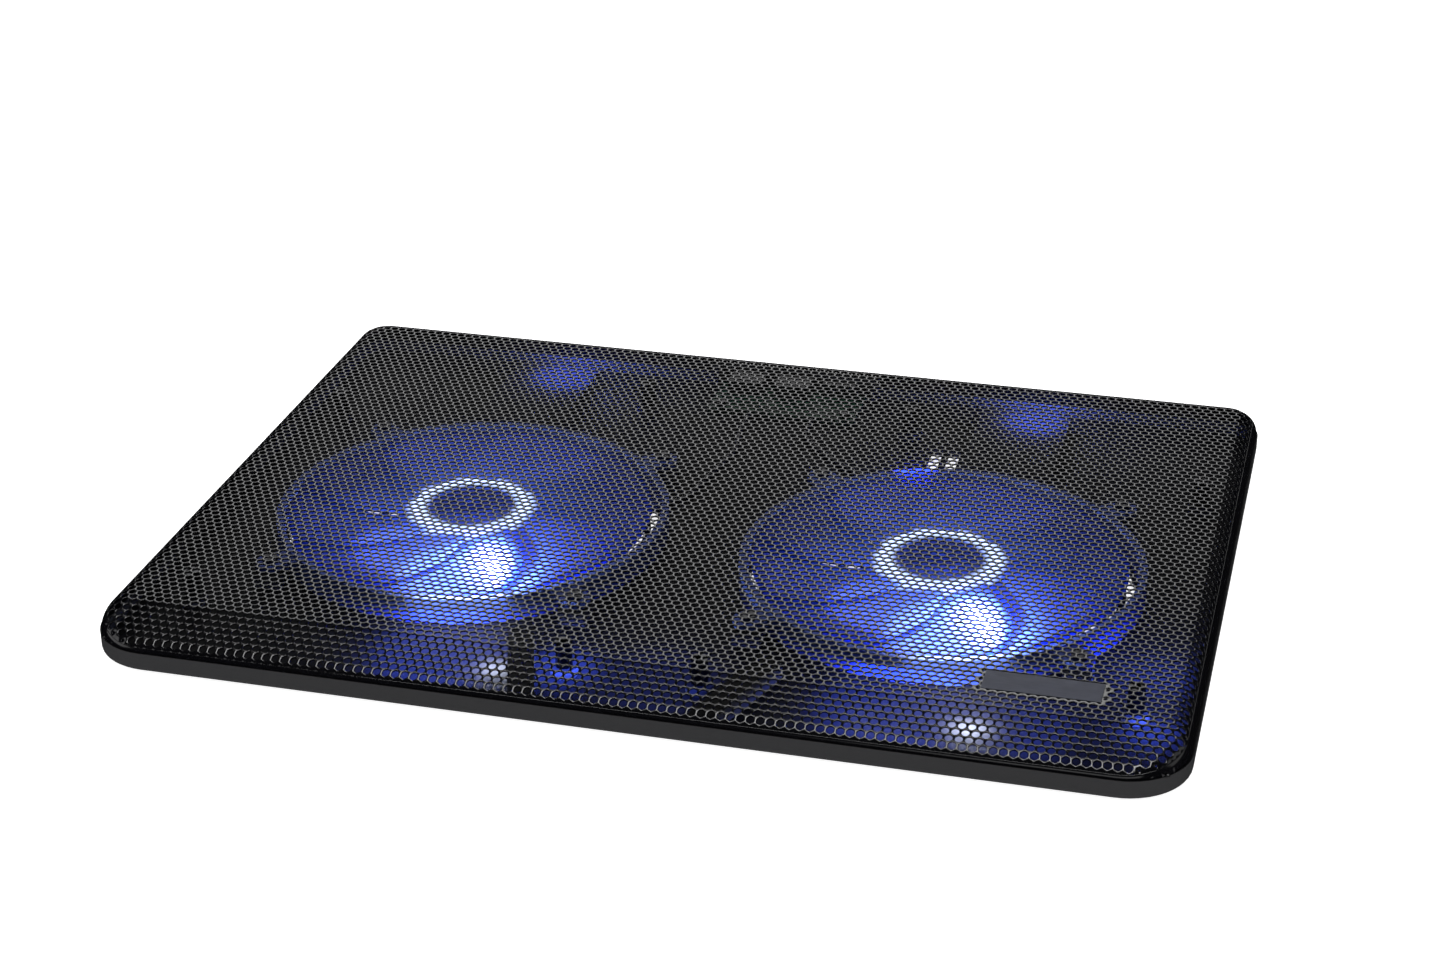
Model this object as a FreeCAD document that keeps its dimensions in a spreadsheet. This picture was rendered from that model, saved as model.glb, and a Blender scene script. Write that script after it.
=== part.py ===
import FreeCAD, Part
import math
import os
import re

import Sketcher

# A slim laptop cooling pad: a moulded tray, a formed sheet-metal top panel, two large fans lit by
# LEDs, a rear port block with a slide switch, and two flip-out feet under the rear edge.
# Row frame: +X to the user's right, +Y to the rear, +Z up, origin on the table under the middle.

os.makedirs("parts", exist_ok=True)
doc = FreeCAD.newDocument("cooling_pad")
dims = doc.addObject("Spreadsheet::Sheet", "dims")

DIMENSIONS = {
    # overall outline
    "width": 350.0, "depth": 256.0, "body_bottom": 3.0, "rim_top": 9.5, "panel_top": 17.2,
    "corner_front": 21.0, "corner_rear": 12.0, "wall": 2.0, "floor_thickness": 2.0,
    "bottom_round": 1.6,
    # formed top panel
    "sheet": 0.5, "panel_inset": 0.5, "panel_roll": 7.4, "fold_back": 20.5, "slope_drop": 5.6,
    "plate_x": 127.5, "plate_y": -92.5, "plate_length": 36.5, "plate_width": 11.0,
    "plate_thickness": 0.25,
    # fans
    "fan_x": 82.0, "fan_y": -13.0, "ring_inner": 65.0, "ring_outer": 67.5, "ring_top": 14.0,
    "seat_radius": 20.0, "seat_top": 7.0, "strut_width": 5.0, "fan_corner": 53.0,
    "ear_bottom": 11.0, "ear_thickness": 2.0, "ear_width": 10.0,
    "hub_radius": 20.5, "hub_wall": 1.6, "hub_bottom": 8.6, "hub_top": 14.6, "hub_roof": 1.2,
    "blade_tip": 60.5, "blade_bottom": 8.8, "blade_top": 14.0, "blade_root_chord": 9.0,
    "blade_tip_chord": 31.0, "blade_thickness": 1.1, "blade_count": 9.0,
    "shaft_radius": 1.5, "shaft_bottom": 5.9, "shaft_top": 13.8, "bearing_play": 0.05,
    "sleeve_radius": 3.5, "sleeve_bottom": 6.9, "sleeve_top": 12.5, "well_floor": 5.5,
    "led_radius": 1.5, "led_inner": 32.5, "led_length": 8.5, "led_height": 6.7,
    "wire_radius": 0.9, "wire_height": 6.1, "wire_start": 13.8,
    # grille in the tray floor under each fan
    "grille_radius": 64.0, "grille_height": 1.6, "grille_bar": 2.2, "grille_step": 8.0,
    "grille_centre": 21.0, "spoke_width": 3.0,
    # motor inside each hub
    "core_bottom": 9.4, "core_top": 12.2, "core_hub": 6.5, "shoe_inner": 13.8, "shoe_outer": 15.9,
    "shoe_gap": 5.0, "arm_width": 3.4, "coil_start": 7.6, "coil_length": 5.6, "coil_width": 7.4,
    "coil_bottom": 8.7, "coil_top": 12.9, "fan_board_inner": 5.2, "fan_board_outer": 14.8,
    "fan_board_top": 8.2, "magnet_inner": 17.1, "magnet_bottom": 9.0, "magnet_top": 13.2,
    "hub_boss": 3.2, "hub_boss_bottom": 12.9, "groove_bottom": 6.2, "groove_top": 6.6,
    "groove_depth": 0.3, "clip_outer": 2.9, "clip_mouth": 1.6, "blade_edge": 1.2,
    # fasteners
    "screw_shank": 1.2, "screw_hole": 1.25, "screw_head": 2.6, "head_height": 1.5,
    "standoff_radius": 2.75, "standoff_bottom": 8.0, "boss_radius": 4.5, "fan_screw_tip": 6.6,
    "case_screw_reach": 4.5,
    # rear port block
    "port_half": 30.0, "port_recess": 2.0, "port_top": 13.6, "board_bottom": 5.5,
    "board_thickness": 1.5, "board_half": 28.0, "board_front": 98.0, "board_rear": 121.8,
    "usb_width": 13.2, "usb_height": 5.7, "usb_depth": 14.3, "usb_wall": 0.35,
    "usb_left_x": -17.0, "usb_right_x": 1.0, "switch_x": 18.0, "switch_width": 12.5,
    "switch_height": 5.0, "knob_width": 3.0, "knob_height": 2.4, "knob_travel": 4.0,
    "knob_low": 8.3, "port_face": 126.3, "switch_face": 123.8,
    # flip-out feet
    "foot_x": 91.0, "foot_half": 14.0, "foot_hinge_y": 107.0, "foot_hinge_z": 6.7,
    "foot_knuckle": 3.0, "foot_low": 3.7, "foot_high": 8.2, "foot_tip_y": 74.0, "pad_depth": 2.0,
    "pocket_gap": 0.4, "pocket_front": 62.0, "pocket_rear": 111.5, "pocket_ceiling": 10.2,
    "pocket_wall": 2.0, "pin_radius": 1.5, "pin_length": 32.4,
    # rubber feet
    "rubber_x": 150.0, "rubber_front": 112.0, "rubber_rear": 106.0, "rubber_radius": 7.0,
    "rubber_recess": 0.6,
    # ribs, vents and small fits
    "rib_x": 29.0, "rib_y": -122.0, "rib_width": 8.4, "rib_length": 41.0, "rib_top": 10.8,
    "vent_x": 62.4, "vent_pitch": 6.4, "vent_y": 77.0, "vent_half_x": 2.2, "vent_half_y": 9.0,
    "board_edge": 4.0, "board_rest": 2.5, "board_screw_shank": 1.0, "board_screw_head": 2.0,
    "board_screw_tip": 3.9, "window_gap": 0.3, "slide_gap": 0.1, "slot_half": 0.35, "slip": 0.02,
    "overlap": 1.0, "foot_rim": 3.0, "foot_skin": 1.8, "lead_bend": 5.5, "lead_clear": 7.0,
    "lead_x": 12.0, "lead_rise": 14.0, "wire_groove_length": 56.0, "rest_back": 12.8,
    "pocket_roof": 1.3, "port_wall": 6.0, "window_reach": 4.0, "insert_back": 3.0,
    "tongue_width": 11.0, "tongue_length": 11.0, "tongue_thickness": 1.9, "tongue_gap": 0.3,
    "switch_depth": 6.0, "switch_slot_depth": 3.0, "knob_root": 2.5, "knob_shy": 0.4,
    "hollow_shift": 2.0,
}

for row, (alias, value) in enumerate(DIMENSIONS.items(), start=1):
    dims.set("A%d" % row, alias)
    dims.set("B%d" % row, str(value))
    dims.setAlias("B%d" % row, alias)
doc.recompute()

sub_parts = []
NEAR = 0.01
LEAST_EDGE = 1.0
LEAST_CUT = 1.0
# a rounded corner takes at most this share of each run beside it
TRIM_SHARE = 0.45


# ---------------------------------------------------------------- helpers

def formula(text):
    """An expression for the sheet: every alias in the text gets the sheet's name."""
    return re.sub(r"[a-z][a-z_]+", lambda word: "dims." + word.group() if word.group() in DIMENSIONS
                  else word.group(), str(text))


def number(text):
    """The value of a formula now, for geometry that is only a starting guess."""
    probe = doc.getObject("probe") or doc.addObject("App::FeaturePython", "probe")
    if "answer" not in probe.PropertiesList:
        probe.addProperty("App::PropertyFloat", "answer")
    probe.setExpression("answer", formula(text))
    probe.recompute()
    return probe.answer


def bind(piece, **properties):
    """Bind properties to formulas; a double underscore stands for a dot."""
    for name, text in properties.items():
        piece.setExpression(name.replace("__", "."), formula(text))
    return piece


def place(piece, at, turn=None):
    """Put a piece at formulas x, y, z, turned first about an axis by an angle in degrees."""
    if turn:
        axis, angle = turn
        piece.Placement = FreeCAD.Placement(FreeCAD.Vector(), FreeCAD.Rotation(FreeCAD.Vector(*axis), angle))
    return bind(piece, Placement__Base__x=at[0], Placement__Base__y=at[1], Placement__Base__z=at[2])


def box(name, size, at, turn=None):
    piece = doc.addObject("Part::Box", name)
    bind(piece, Length=size[0], Width=size[1], Height=size[2])
    return place(piece, at, turn)


def centred_box(name, centre, half, low, high):
    """A box from its plan centre, plan half sizes, and lowest and highest height."""
    size = ("2 * (%s)" % half[0], "2 * (%s)" % half[1], "(%s) - (%s)" % (high, low))
    at = ("(%s) - (%s)" % (centre[0], half[0]), "(%s) - (%s)" % (centre[1], half[1]), low)
    return box(name, size, at)


def radial_bar(name, centre, angle, start, length, width, low, high):
    """A flat bar that starts at a radius from a centre and points out at an angle in degrees."""
    cosine = math.cos(math.radians(angle))
    sine = math.sin(math.radians(angle))
    along = "(%s) + (%s) * %.9f + (%s) / 2 * %.9f" % (centre[0], start, cosine, width, sine)
    across = "(%s) + (%s) * %.9f - (%s) / 2 * %.9f" % (centre[1], start, sine, width, cosine)
    size = (length, width, "(%s) - (%s)" % (high, low))
    return box(name, size, (along, across, low), ((0, 0, 1), angle))


def rod(name, radius, at, low, high):
    """An upright cylinder."""
    piece = doc.addObject("Part::Cylinder", name)
    bind(piece, Radius=radius, Height="(%s) - (%s)" % (high, low))
    return place(piece, (at[0], at[1], low))


def cross_rod(name, radius, length, at):
    """A cylinder along +X."""
    piece = doc.addObject("Part::Cylinder", name)
    bind(piece, Radius=radius, Height=length)
    return place(piece, at, ((0, 1, 0), 90))


def cut(name, base, *tools):
    piece = doc.addObject("Part::Cut", name)
    piece.Base = base
    piece.Tool = tools[0] if len(tools) == 1 else fuse(name + "_tools", *tools)
    return piece


def fuse(name, *pieces):
    piece = doc.addObject("Part::MultiFuse", name)
    piece.Shapes = list(pieces)
    piece.Refine = True
    return piece


def group(name, pieces):
    piece = doc.addObject("Part::Compound", name)
    piece.Links = list(pieces)
    return piece


def tube(name, inner, outer, at, low, high):
    """An upright ring, bored right through."""
    wall = rod(name + "_wall", outer, at, low, high)
    bore = rod(name + "_bore", inner, at, "(%s) - overlap" % low, "(%s) + overlap" % high)
    return cut(name, wall, bore)


def keep(piece, label):
    """Mark a finished sub-part; its label names its file."""
    piece.Label = label
    sub_parts.append(piece)
    return piece


def new_body(name):
    return doc.addObject("PartDesign::Body", name)


def origin_plane(body, role):
    return next(plane for plane in body.Origin.OriginFeatures if plane.Role == role)


def new_sketch(body, name, role, offset="0"):
    sketch = body.newObject("Sketcher::SketchObject", name)
    sketch.AttachmentSupport = (origin_plane(body, role), [""])
    sketch.MapMode = "FlatFace"
    sketch.setExpression("AttachmentOffset.Base.z", formula(offset))
    return sketch


def outline(sketch, corners):
    """A closed outline of straight lines, every corner bound to a pair of formulas."""
    points = [FreeCAD.Vector(number(x), number(y), 0) for x, y in corners]
    count = len(points)
    for index in range(count):
        sketch.addGeometry(Part.LineSegment(points[index], points[(index + 1) % count]), False)
    for index in range(count):
        sketch.addConstraint(Sketcher.Constraint("Coincident", index, 2, (index + 1) % count, 1))
    for index, (x, y) in enumerate(corners):
        for kind, text, value in (("DistanceX", x, points[index].x), ("DistanceY", y, points[index].y)):
            number_of = sketch.addConstraint(Sketcher.Constraint(kind, -1, 1, index, 1, value))
            sketch.setExpression("Constraints[%d]" % number_of, formula(text))
    return sketch


def pad(body, sketch, length, name):
    feature = body.newObject("PartDesign::Pad", name)
    feature.Profile = sketch
    return bind(feature, Length=length)


def fillet(body, base, radius, test, name):
    """Round the edges of a feature that pass a test."""
    doc.recompute()
    edges = enumerate(base.Shape.Edges, start=1)
    names = ["Edge%d" % index for index, edge in edges if test(edge)]
    feature = body.newObject("PartDesign::Fillet", name)
    feature.Base = (base, names)
    return bind(feature, Radius=radius)


def is_upright(edge):
    span = edge.BoundBox
    return span.ZLength > LEAST_EDGE and span.XLength < NEAR and span.YLength < NEAR


# ---------------------------------------------------------------- rounded block used by tray and panel

def rounded_block(name, inset, low, high):
    """A rounded rectangle, inset from the pad's outline, between two heights."""
    body = new_body(name)
    half_x = "width / 2 - (%s)" % inset
    half_y = "depth / 2 - (%s)" % inset
    sketch = outline(new_sketch(body, name + "_plan", "XY_Plane", low), [
        ("-(%s)" % half_x, "-(%s)" % half_y), (half_x, "-(%s)" % half_y),
        (half_x, half_y), ("-(%s)" % half_x, half_y)])
    block = pad(body, sketch, "(%s) - (%s)" % (high, low), name + "_pad")
    front = fillet(body, block, "corner_front - (%s)" % inset,
                   lambda edge: is_upright(edge) and edge.BoundBox.Center.y < 0, name + "_front")
    rear = fillet(body, front, "corner_rear - (%s)" % inset,
                  lambda edge: is_upright(edge) and edge.BoundBox.Center.y > 0, name + "_rear")
    doc.recompute()
    return body, rear


# ---------------------------------------------------------------- tray

FANS = (("left", "-fan_x"), ("right", "fan_x"))
FEET = (("left", "-foot_x"), ("right", "foot_x"))
SIGNS = (("left", "-1"), ("right", "1"))
LED_ANGLE = -61
STRUT_ANGLES = (LED_ANGLE, LED_ANGLE + 90, LED_ANGLE + 180, LED_ANGLE + 270)
ARM_ANGLES = (0, 90, 180, 270)
WIRE_STRUT = {"left": LED_ANGLE + 90, "right": LED_ANGLE + 180}
LEAD_TURN = {"left": -9, "right": 26}
EAR_ANGLES = (-135, 135, -45, 45)
SPOKE_ANGLES = (30, 90, 150)
RIB_ANGLES = {"left": 108, "right": 72}
RUBBER_ROWS = (("front", "-rubber_front"), ("rear", "rubber_rear"))
STANDOFFS = ((22, -100), (155, -85), (160, 60), (50, 95))


def tray_shell():
    body, outer = rounded_block("tray_outer", "0", "body_bottom", "rim_top")
    low = number("body_bottom")
    fillet(body, outer, "bottom_round",
           lambda edge: edge.BoundBox.ZMax < low + NEAR, "tray_bottom_round")
    inner, _ = rounded_block("tray_inner", "wall", "body_bottom + floor_thickness", "rim_top + overlap")
    return cut("tray_shell", body, inner)


def standoff_places():
    return [(sign * x, y) for x, y in STANDOFFS for sign in (-1, 1)]


def fan_corners(x):
    """The four screw places round a fan centre."""
    return [("(%s) + %d * fan_corner" % (x, across), "fan_y + %d * fan_corner" % along)
            for across in (-1, 1) for along in (-1, 1)]


def board_rests():
    """Where the control board sits on the floor; the front two take its screws."""
    rear = "board_rear - rest_back"
    return [(x, y) for y in ("board_front + board_edge", rear)
            for x in ("-board_half + board_edge", "board_half - board_edge")]


def fan_grille(side, x):
    """Concentric bars on spokes across the round opening in the floor."""
    top = "body_bottom + grille_height"
    bars = [rod("grille_centre_" + side, "grille_centre", (x, "fan_y"), "body_bottom", top)]
    count = int((number("grille_radius") - number("grille_centre")) / number("grille_step"))
    for ring in range(1, count + 1):
        inner = "grille_centre + %d * grille_step - grille_bar" % ring
        bars.append(tube("grille_bar_%s_%d" % (side, ring), inner, inner + " + grille_bar",
                         (x, "fan_y"), "body_bottom", top))
    for angle in SPOKE_ANGLES:
        bars.append(radial_bar("grille_spoke_%s_%d" % (side, angle), (x, "fan_y"), angle,
                               "-grille_radius - overlap / 2", "2 * grille_radius + overlap",
                               "spoke_width", "body_bottom", top))
    return bars


def foot_pocket(side, x):
    """The raised housing of a flip-out foot, and the space to clear inside it."""
    middle = "(pocket_front + pocket_rear) / 2"
    half_y = "(pocket_rear - pocket_front) / 2"
    half_x = "foot_half + pocket_gap"
    housing = centred_box("pocket_housing_" + side, (x, middle),
                          (half_x + " + pocket_wall", half_y + " + pocket_wall / 2"),
                          "body_bottom + floor_thickness / 2", "pocket_ceiling + pocket_roof")
    space = centred_box("pocket_space_" + side, (x, middle), (half_x, half_y), "0", "pocket_ceiling")
    pin_hole = cross_rod("pocket_pin_hole_" + side, "pin_radius", "pin_length", pin_start(x))
    return housing, [space, pin_hole]


def pin_start(x):
    return "(%s) - pin_length / 2" % x, "foot_hinge_y", "foot_hinge_z"


def port_block():
    """The raised stretch of rear wall that carries the sockets and the switch."""
    half_wall = "port_wall / 2"
    low = "body_bottom + floor_thickness"
    high = "port_top + overlap"
    block = centred_box("port_block", ("0", "depth / 2 - " + half_wall), ("port_half + wall", half_wall),
                        "body_bottom + overlap", "port_top")
    inside = centred_box("port_inside", ("0", "depth / 2 - port_recess - wall - " + half_wall),
                         ("port_half", half_wall), low, high)
    recess = centred_box("port_recess_space", ("0", "depth / 2 + overlap"),
                         ("port_half", "port_recess + overlap"), low, high)
    board_top = "board_bottom + board_thickness"
    windows = [centred_box("usb_window_" + side, ("usb_%s_x" % side, "depth / 2 - window_reach"),
                           ("usb_width / 2 + window_gap", "window_reach"), board_top + " - window_gap",
                           board_top + " + usb_height + window_gap")
               for side in ("left", "right")]
    windows.append(centred_box("switch_window", ("switch_x", "depth / 2 - window_reach"),
                               ("knob_width / 2 + knob_travel / 2 + window_gap", "window_reach"),
                               "knob_low - window_gap", "knob_low + knob_height + window_gap"))
    return block, [inside, recess] + windows


def tray():
    floor = "body_bottom"
    inside_floor = "body_bottom + floor_thickness"
    added = []
    removed = []
    shell = tray_shell()
    openings = [rod("fan_opening_" + side, "grille_radius", (x, "fan_y"), "0", inside_floor + " + overlap")
                for side, x in FANS]
    shell = cut("tray_shell_open", shell, *openings)
    for side, x in FANS:
        added += fan_grille(side, x)
        for corner, spot in enumerate(fan_corners(x)):
            name = "%s_%d" % (side, corner)
            added.append(centred_box("fan_boss_" + name, spot, ("boss_radius", "boss_radius"),
                                     floor + " + overlap", "ear_bottom"))
            removed.append(rod("fan_boss_hole_" + name, "screw_hole", spot, "fan_screw_tip - slide_gap",
                               "ear_bottom + overlap"))
    for side, x in FEET:
        housing, spaces = foot_pocket(side, x)
        added.append(housing)
        removed += spaces
    for index, spot in enumerate(standoff_places()):
        added.append(rod("case_boss_%d" % index, "boss_radius", spot, floor + " + overlap",
                         "standoff_bottom"))
        removed.append(rod("case_hole_%d" % index, "screw_shank + window_gap", spot, "0",
                           "standoff_bottom + overlap"))
        removed.append(rod("head_recess_%d" % index, "screw_head + window_gap", spot, "0",
                           floor + " + slide_gap + head_height"))
    for side, sign in SIGNS:
        added.append(radial_bar("front_rib_" + side, (sign + " * rib_x", "rib_y"), RIB_ANGLES[side],
                                "-2 * overlap", "rib_length", "rib_width", floor + " + overlap",
                                "rib_top"))
        for row_name, y in RUBBER_ROWS:
            removed.append(rod("rubber_recess_%s_%s" % (row_name, side), "rubber_radius + slide_gap",
                               (sign + " * rubber_x", y), "0", floor + " + rubber_recess"))
    for slot in (0, 1):
        spot = ("vent_x + %d * vent_pitch" % slot, "vent_y")
        removed.append(centred_box("vent_slot_%d" % slot, spot, ("vent_half_x", "vent_half_y"), "0",
                                   inside_floor + " + overlap"))
    block, port_spaces = port_block()
    added.append(block)
    removed += port_spaces
    for index, spot in enumerate(board_rests()):
        added.append(rod("board_rest_%d" % index, "board_rest", spot, floor + " + overlap",
                         "board_bottom"))
        removed.append(rod("board_hole_%d" % index, "board_screw_shank + slip", spot,
                           "board_screw_tip - slide_gap", "board_bottom + overlap"))
    whole = fuse("tray_whole", shell, *added)
    return keep(cut("tray_cut", whole, *removed), "base_tray")


# ---------------------------------------------------------------- top panel

def panel_skin(name, inset, low):
    """The panel's outer or inner face as a block: rolled edges and a front that slopes down."""
    total = "panel_inset + (%s)" % inset
    body, block = rounded_block(name, total, low, "panel_top - (%s)" % inset)
    high = number("panel_top - (%s)" % inset)
    rolled = fillet(body, block, "panel_roll - (%s)" % inset,
                    lambda edge: edge.BoundBox.ZMin > high - NEAR, name + "_roll")
    doc.recompute()
    before = rolled.Shape.Volume
    fold = "-(depth / 2 - fold_back)"
    front = "-(depth / 2 + overlap)"
    above = "panel_top + 2 * overlap"
    top = "panel_top - (%s)" % inset
    slope = "slope_drop * (fold_back + overlap) / (fold_back - panel_inset)"
    wedge = outline(new_sketch(body, name + "_slope", "YZ_Plane"), [
        (fold, top), (fold, above), (front, above), (front, top + " - " + slope)])
    pocket = body.newObject("PartDesign::Pocket", name + "_wedge")
    pocket.Profile = wedge
    pocket.Type = "ThroughAll"
    pocket.Midplane = True
    doc.recompute()
    if not pocket.Shape.Volume < before - LEAST_CUT:
        raise ValueError("the front slope cut nothing from " + name)
    return body


def mesh_panel():
    outer = panel_skin("panel_outer", "0", "rim_top")
    inner = panel_skin("panel_inner", "sheet", "rim_top - overlap")
    skin = cut("panel_skin", outer, inner)
    notch = centred_box("port_notch", ("0", "depth / 2 - port_wall / 2"),
                        ("port_half + wall + window_gap", "port_wall / 2 + overlap"), "0",
                        "port_top + window_gap")
    recess = centred_box("plate_recess", ("plate_x", "plate_y"), ("plate_length / 2", "plate_width / 2"),
                         "panel_top - plate_thickness", "panel_top + overlap")
    return keep(cut("panel_cut", skin, notch, recess), "mesh_panel")


def name_plate():
    plate = centred_box("plate", ("plate_x", "plate_y"),
                        ("plate_length / 2 - slip", "plate_width / 2 - slip"),
                        "panel_top - plate_thickness", "panel_top")
    return keep(plate, "name_plate")


def standoffs():
    posts = [tube("standoff_%d" % index, "screw_hole", "standoff_radius", spot, "standoff_bottom",
                  "panel_top - sheet") for index, spot in enumerate(standoff_places())]
    return keep(group("standoff_group", posts), "panel_standoffs")


def screw(name, spot, head_low, head_high, tip, end):
    """A pan-head screw: a head and a shank that runs from the head to its tip."""
    head = rod(name + "_head", "screw_head", spot, head_low, head_high)
    low, high = (head_high, tip) if end == "up" else (tip, head_low)
    shank = rod(name + "_shank", "screw_shank", spot, low, high)
    slot_low, slot_high = ((head_low + " - overlap", head_low + " + head_height / 3") if end == "up"
                           else (head_high + " - head_height / 3", head_high + " + overlap"))
    slot = centred_box(name + "_slot", spot, ("screw_head", "slot_half"), slot_low, slot_high)
    return cut(name, fuse(name + "_whole", head, shank), slot)


def case_screws():
    low = "body_bottom + slide_gap"
    high = low + " + head_height"
    tip = "standoff_bottom + case_screw_reach"
    screws = [screw("case_screw_%d" % index, spot, low, high, tip, "up")
              for index, spot in enumerate(standoff_places())]
    return keep(group("case_screw_group", screws), "case_screws")


def fan_screws():
    low = "ear_bottom + ear_thickness"
    screws = []
    for side, x in FANS:
        for corner, spot in enumerate(fan_corners(x)):
            screws.append(screw("fan_screw_%s_%d" % (side, corner), spot, low, low + " + head_height",
                                "fan_screw_tip", "down"))
    return keep(group("fan_screw_group", screws), "fan_screws")


def rubber_feet():
    feet = []
    for side, sign in SIGNS:
        for row_name, y in RUBBER_ROWS:
            spot = (sign + " * rubber_x", y)
            feet.append(rod("rubber_foot_%s_%s" % (row_name, side), "rubber_radius", spot, "0",
                            "body_bottom + rubber_recess"))
    return keep(group("rubber_group", feet), "rubber_feet")


# ---------------------------------------------------------------- fans

def fan_frame(side, x):
    """Outer ring, four struts, motor seat with its bearing well, and four screw ears."""
    centre = (x, "fan_y")
    low = "body_bottom + floor_thickness"
    pieces = [tube("ring_" + side, "ring_inner", "ring_outer", centre, low, "ring_top"),
              rod("seat_" + side, "seat_radius", centre, low, "seat_top")]
    spaces = [rod("well_" + side, "sleeve_radius", centre, "well_floor", "seat_top + overlap")]
    for index, angle in enumerate(STRUT_ANGLES):
        pieces.append(radial_bar("strut_%s_%d" % (side, index), centre, angle, "seat_radius - overlap",
                                 "ring_inner - seat_radius + 1.5 * overlap", "strut_width", low,
                                 "seat_top"))
    ear_top = "ear_bottom + ear_thickness"
    for index, (angle, spot) in enumerate(zip(EAR_ANGLES, fan_corners(x))):
        name = "%s_%d" % (side, index)
        pieces.append(radial_bar("ear_arm_" + name, centre, angle, "ring_inner + overlap",
                                 "fan_corner * sqrt(2) - ring_inner - overlap", "ear_width",
                                 "ear_bottom", ear_top))
        pieces.append(rod("ear_end_" + name, "ear_width / 2", spot, "ear_bottom", ear_top))
        spaces.append(rod("ear_hole_" + name, "screw_shank + window_gap", spot, "ear_bottom - overlap",
                          "ring_top + overlap"))
    spaces.append(radial_bar("led_slot_" + side, centre, LED_ANGLE, "led_inner - 2 * overlap",
                             "led_length + 2 * overlap + 2 * window_gap",
                             "2 * led_radius + 2 * slide_gap", low + " - overlap",
                             "seat_top + overlap"))
    spaces.append(radial_bar("wire_groove_" + side, centre, WIRE_STRUT[side], "wire_start - window_gap",
                             "wire_groove_length", "2 * wire_radius + slide_gap",
                             "wire_height - wire_radius - slide_gap / 2",
                             "wire_height + wire_radius + slide_gap / 2"))
    return keep(cut("frame_cut_" + side, fuse("frame_" + side, *pieces), *spaces), "fan_frame_" + side)


def fan_led(side, x):
    """A small lamp lying along a strut under the blades, its domed end pointing outward."""
    sine = math.sin(math.radians(LED_ANGLE))
    cosine = math.cos(math.radians(LED_ANGLE))

    def spot(radius):
        return ("(%s) + (%s) * %.9f" % (x, radius, cosine),
                "fan_y + (%s) * %.9f" % (radius, sine), "led_height")
    turn = ((-sine, cosine, 0), 90)
    barrel = doc.addObject("Part::Cylinder", "led_barrel_" + side)
    bind(barrel, Radius="led_radius", Height="led_length - led_radius")
    place(barrel, spot("led_inner"), turn)
    dome = doc.addObject("Part::Sphere", "led_dome_" + side)
    bind(dome, Radius="led_radius")
    place(dome, spot("led_inner + led_length - led_radius"), turn)
    return keep(fuse("led_" + side, barrel, dome), "fan_led_" + side)


def bearing_sleeve(side, x):
    sleeve = tube("sleeve_" + side, "shaft_radius + bearing_play", "sleeve_radius - slip", (x, "fan_y"),
                  "sleeve_bottom", "sleeve_top")
    return keep(sleeve, "bearing_sleeve_" + side)


def stator_core(side, x):
    """Laminated iron: a hub ring, four arms and four pole shoes."""
    centre = (x, "fan_y")
    pieces = [tube("core_hub_" + side, "sleeve_radius", "core_hub", centre, "core_bottom", "core_top")]
    shoes = tube("core_rim_" + side, "shoe_inner", "shoe_outer", centre, "core_bottom", "core_top")
    gaps = [radial_bar("core_gap_%s_%d" % (side, angle), centre, angle, "-shoe_outer - overlap",
                       "2 * shoe_outer + 2 * overlap", "shoe_gap", "core_bottom - overlap",
                       "core_top + overlap")
            for angle in (45, 135)]
    pieces.append(cut("core_shoes_" + side, shoes, *gaps))
    pieces += [radial_bar("core_arm_%s_%d" % (side, index), centre, angle, "core_hub - overlap",
                          "shoe_inner - core_hub + 2 * overlap", "arm_width", "core_bottom", "core_top")
               for index, angle in enumerate(ARM_ANGLES)]
    return keep(fuse("core_" + side, *pieces), "stator_core_" + side)


def stator_coils(side, x):
    """Four windings, one on each arm of the core."""
    centre = (x, "fan_y")
    coils = []
    for index, angle in enumerate(ARM_ANGLES):
        name = "coil_%s_%d" % (side, index)
        winding = radial_bar(name + "_winding", centre, angle, "coil_start", "coil_length", "coil_width",
                             "coil_bottom", "coil_top")
        passage = radial_bar(name + "_passage", centre, angle, "coil_start - overlap",
                             "coil_length + 2 * overlap", "arm_width + 2 * slip", "core_bottom - slip",
                             "core_top + slip")
        coils.append(cut(name, winding, passage))
    return keep(group("coil_group_" + side, coils), "stator_coils_" + side)


def fan_board(side, x):
    board = tube("fan_board_" + side, "fan_board_inner", "fan_board_outer", (x, "fan_y"), "seat_top",
                 "fan_board_top")
    return keep(board, "fan_board_" + side)


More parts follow.
